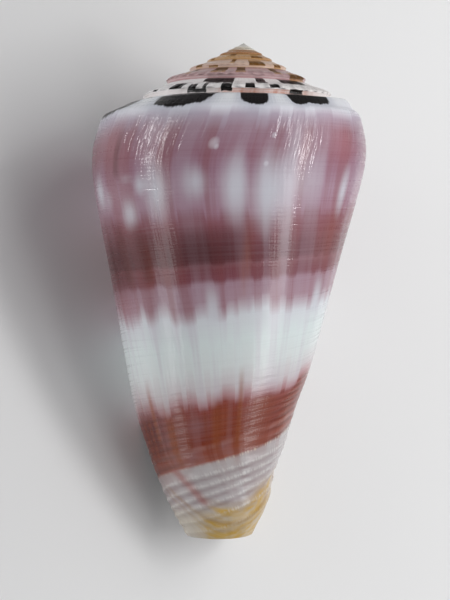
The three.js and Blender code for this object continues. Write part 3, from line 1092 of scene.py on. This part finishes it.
# %% Bump, gloss and the finished material
fine = streaks(230, 0.14, 1.0)
near_shoulder = edge(depth, 27, 13)
up_and_down = times(around(fine, 0.2), plus(times(near_shoulder, 0.88), 0.12))
round_about = times(around(threads, 0.08), edge(depth, 12, 24, 0.25, 1.0))
combed = plus(plus(up_and_down, round_about), around(hair, 0.01))
knob_row = times(edge(station, 0.3, 1.2), edge(station, 2.6, 1.6))
knob = times(plus(calc("SINE", times(at, math.tau / KNOB_TURNS)), 1.0), knob_row)
knob = times(times(knob, 0.25), times(edge(at, -1.02, -1.08), edge(at, -2.6, -1.9, 0.2, 1.0)))
calm = node("Bump", {"Height": plus(times(combed, 0.1), knob), "Strength": 1.0, "Distance": MM})
glints = node("Bump", {"Height": plus(combed, knob), "Strength": 1.0, "Distance": MM})
shine = edge(plus(times(hair, 0.4), times(threads, 0.6)), 0.35, 0.65, 0.25, 0.42)
coat = edge(depth, 12, 16, 0.12, 0.55)
shader = node("BsdfPrincipled", {
    "Base Color": skin, "Roughness": shine, "Normal": calm.outputs[0], "Coat Normal": glints.outputs[0],
    "IOR": 1.27, "Coat Weight": coat, "Coat Roughness": 0.06, "Coat IOR": 1.5,
})
node("OutputMaterial", {"Surface": shader.outputs[0]})
mesh.materials.append(enamel)
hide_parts("shell")
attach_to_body(shell, "root")
print(len(tree.nodes), "nodes in", enamel.name)

# %% [markdown]
# ## The studio
#
# The shell lies on a small pale floor, in a dim grey surround that keeps its blacks black.

# %% Floor and surround
floor_mesh = bpy.data.meshes.new("floor")
floor_corners = [(-0.065, -0.1, 0), (0.075, -0.1, 0), (0.075, 0.06, 0), (-0.065, 0.06, 0)]
floor_mesh.from_pydata(floor_corners, [], [(0, 1, 2, 3)])
floor = add_object("floor", floor_mesh)
floor_paint = bpy.data.materials.new("floor_paint")
floor_paint.use_nodes = True
paint = floor_paint.node_tree.nodes["Principled BSDF"].inputs
paint["Base Color"].default_value = (0.8, 0.8, 0.8, 1)
paint["Roughness"].default_value = 0.7
floor_mesh.materials.append(floor_paint)

surround = bpy.data.worlds.new("surround")
surround.use_nodes = True
surround.node_tree.nodes["Background"].inputs["Color"].default_value = (0.13, 0.13, 0.135, 1)
bpy.context.scene.world = surround
bpy.context.scene.view_settings.view_transform = "Standard"
print("floor corners, m:", floor_corners)

# %% [markdown]
# Four soft lights stand on each side: a tall box that fills, a narrow lamp for the glint down the
# shoulder, a low lamp for the veil of light over the maroon band, and a crown light for the spire.
# They are placed by the shell's own axis, because a highlight on a cone runs along its side only if
# the light is tilted with the taper. Nothing bright stands straight above, or the blacks look hazy.

# %% Lights
# name, degrees round the axis, tilt towards the base, distance, width and height in metres, brightness
LIGHTS = [
    ("left_box", -60, 8, 0.45, 0.25, 0.8, 0.2), ("right_box", 58, 8, 0.45, 0.25, 0.8, 1.0),
    ("left_lamp", -68, -14, 0.44, 0.05, 0.26, 15.0), ("right_lamp", 61, -12, 0.44, 0.05, 0.28, 18.0),
    ("left_low_lamp", -62, 20, 0.44, 0.12, 0.3, 2.3), ("right_low_lamp", 56, 20, 0.44, 0.12, 0.3, 3.4),
    ("left_crown", -72, -42, 0.45, 0.25, 0.25, 1.5), ("right_crown", 72, -42, 0.45, 0.25, 0.25, 2.4),
]
turned = Matrix(to_rest.tolist())
centre = Vector([(a + b) / 2 for a, b in zip(*cad_box)])


def soft_box(name, towards, distance, width, height, glow):
    """An area light that faces the shell; glow is its brightness as the camera would see it."""
    lamp = bpy.data.lights.new(name, "AREA")
    lamp.shape, lamp.size, lamp.size_y = "RECTANGLE", width, height
    lamp.energy = glow * math.pi * width * height
    holder = add_object(name, lamp)
    back = towards.normalized()
    along = turned @ Vector((0, 1, 0))
    right = along.cross(back).normalized()
    holder.matrix_world = Matrix([right, back.cross(right), back]).transposed().to_4x4()
    holder.location = centre + back * distance


def round_axis(degrees, tilt):
    """A direction at an angle round the shell's axis from its back, tilted towards the base."""
    a, t = math.radians(degrees), math.radians(tilt)
    return turned @ Vector((math.sin(a) * math.cos(t), -math.sin(t), math.cos(a) * math.cos(t)))


for name, degrees, tilt, *rest in LIGHTS:
    soft_box(name, round_axis(degrees, tilt), *rest)
print(len(LIGHTS), "lights")

# %% [markdown]
# ## The camera
#
# The photograph was taken from about 26 cm, square to the shell's length. The shell lies at a slant
# on the floor, so the camera looks down on it from that same side. A small shift puts the shell
# where it stands in the picture.

# %% Camera
LENS, SENSOR, PICTURE = 96, 36, 600  # focal length and sensor in mm, height of the picture in pixels
AIM, DISTANCE = -40.4, 258.6  # millimetres: a place on the axis, and how far from it the camera is
above, slant = math.radians(1.93), math.radians(2.49)
lens = bpy.data.cameras.new("camera")
lens.lens, lens.sensor_fit, lens.sensor_height = LENS, "VERTICAL", SENSOR
lens.shift_x, lens.shift_y = -7.7 / PICTURE, -6 / PICTURE
lens.clip_start = 0.01
camera = add_object("camera", lens)
bpy.context.scene.camera = camera
across_view = Vector((1, 0, 0))
down_view = Vector((0, -math.cos(above), math.sin(above)))
right = turned @ (math.cos(slant) * across_view - math.sin(slant) * down_view)
up = turned @ (-math.sin(slant) * across_view - math.cos(slant) * down_view)
back = turned @ Vector((0, math.sin(above), math.cos(above)))
aim = (turned @ Vector((0, AIM, 0)) + Vector(shift.tolist())) * MM
camera.matrix_world = Matrix([right, up, back]).transposed().to_4x4()
camera.location = aim + back * DISTANCE * MM
print("camera looks from", [round(c, 3) for c in camera.location])
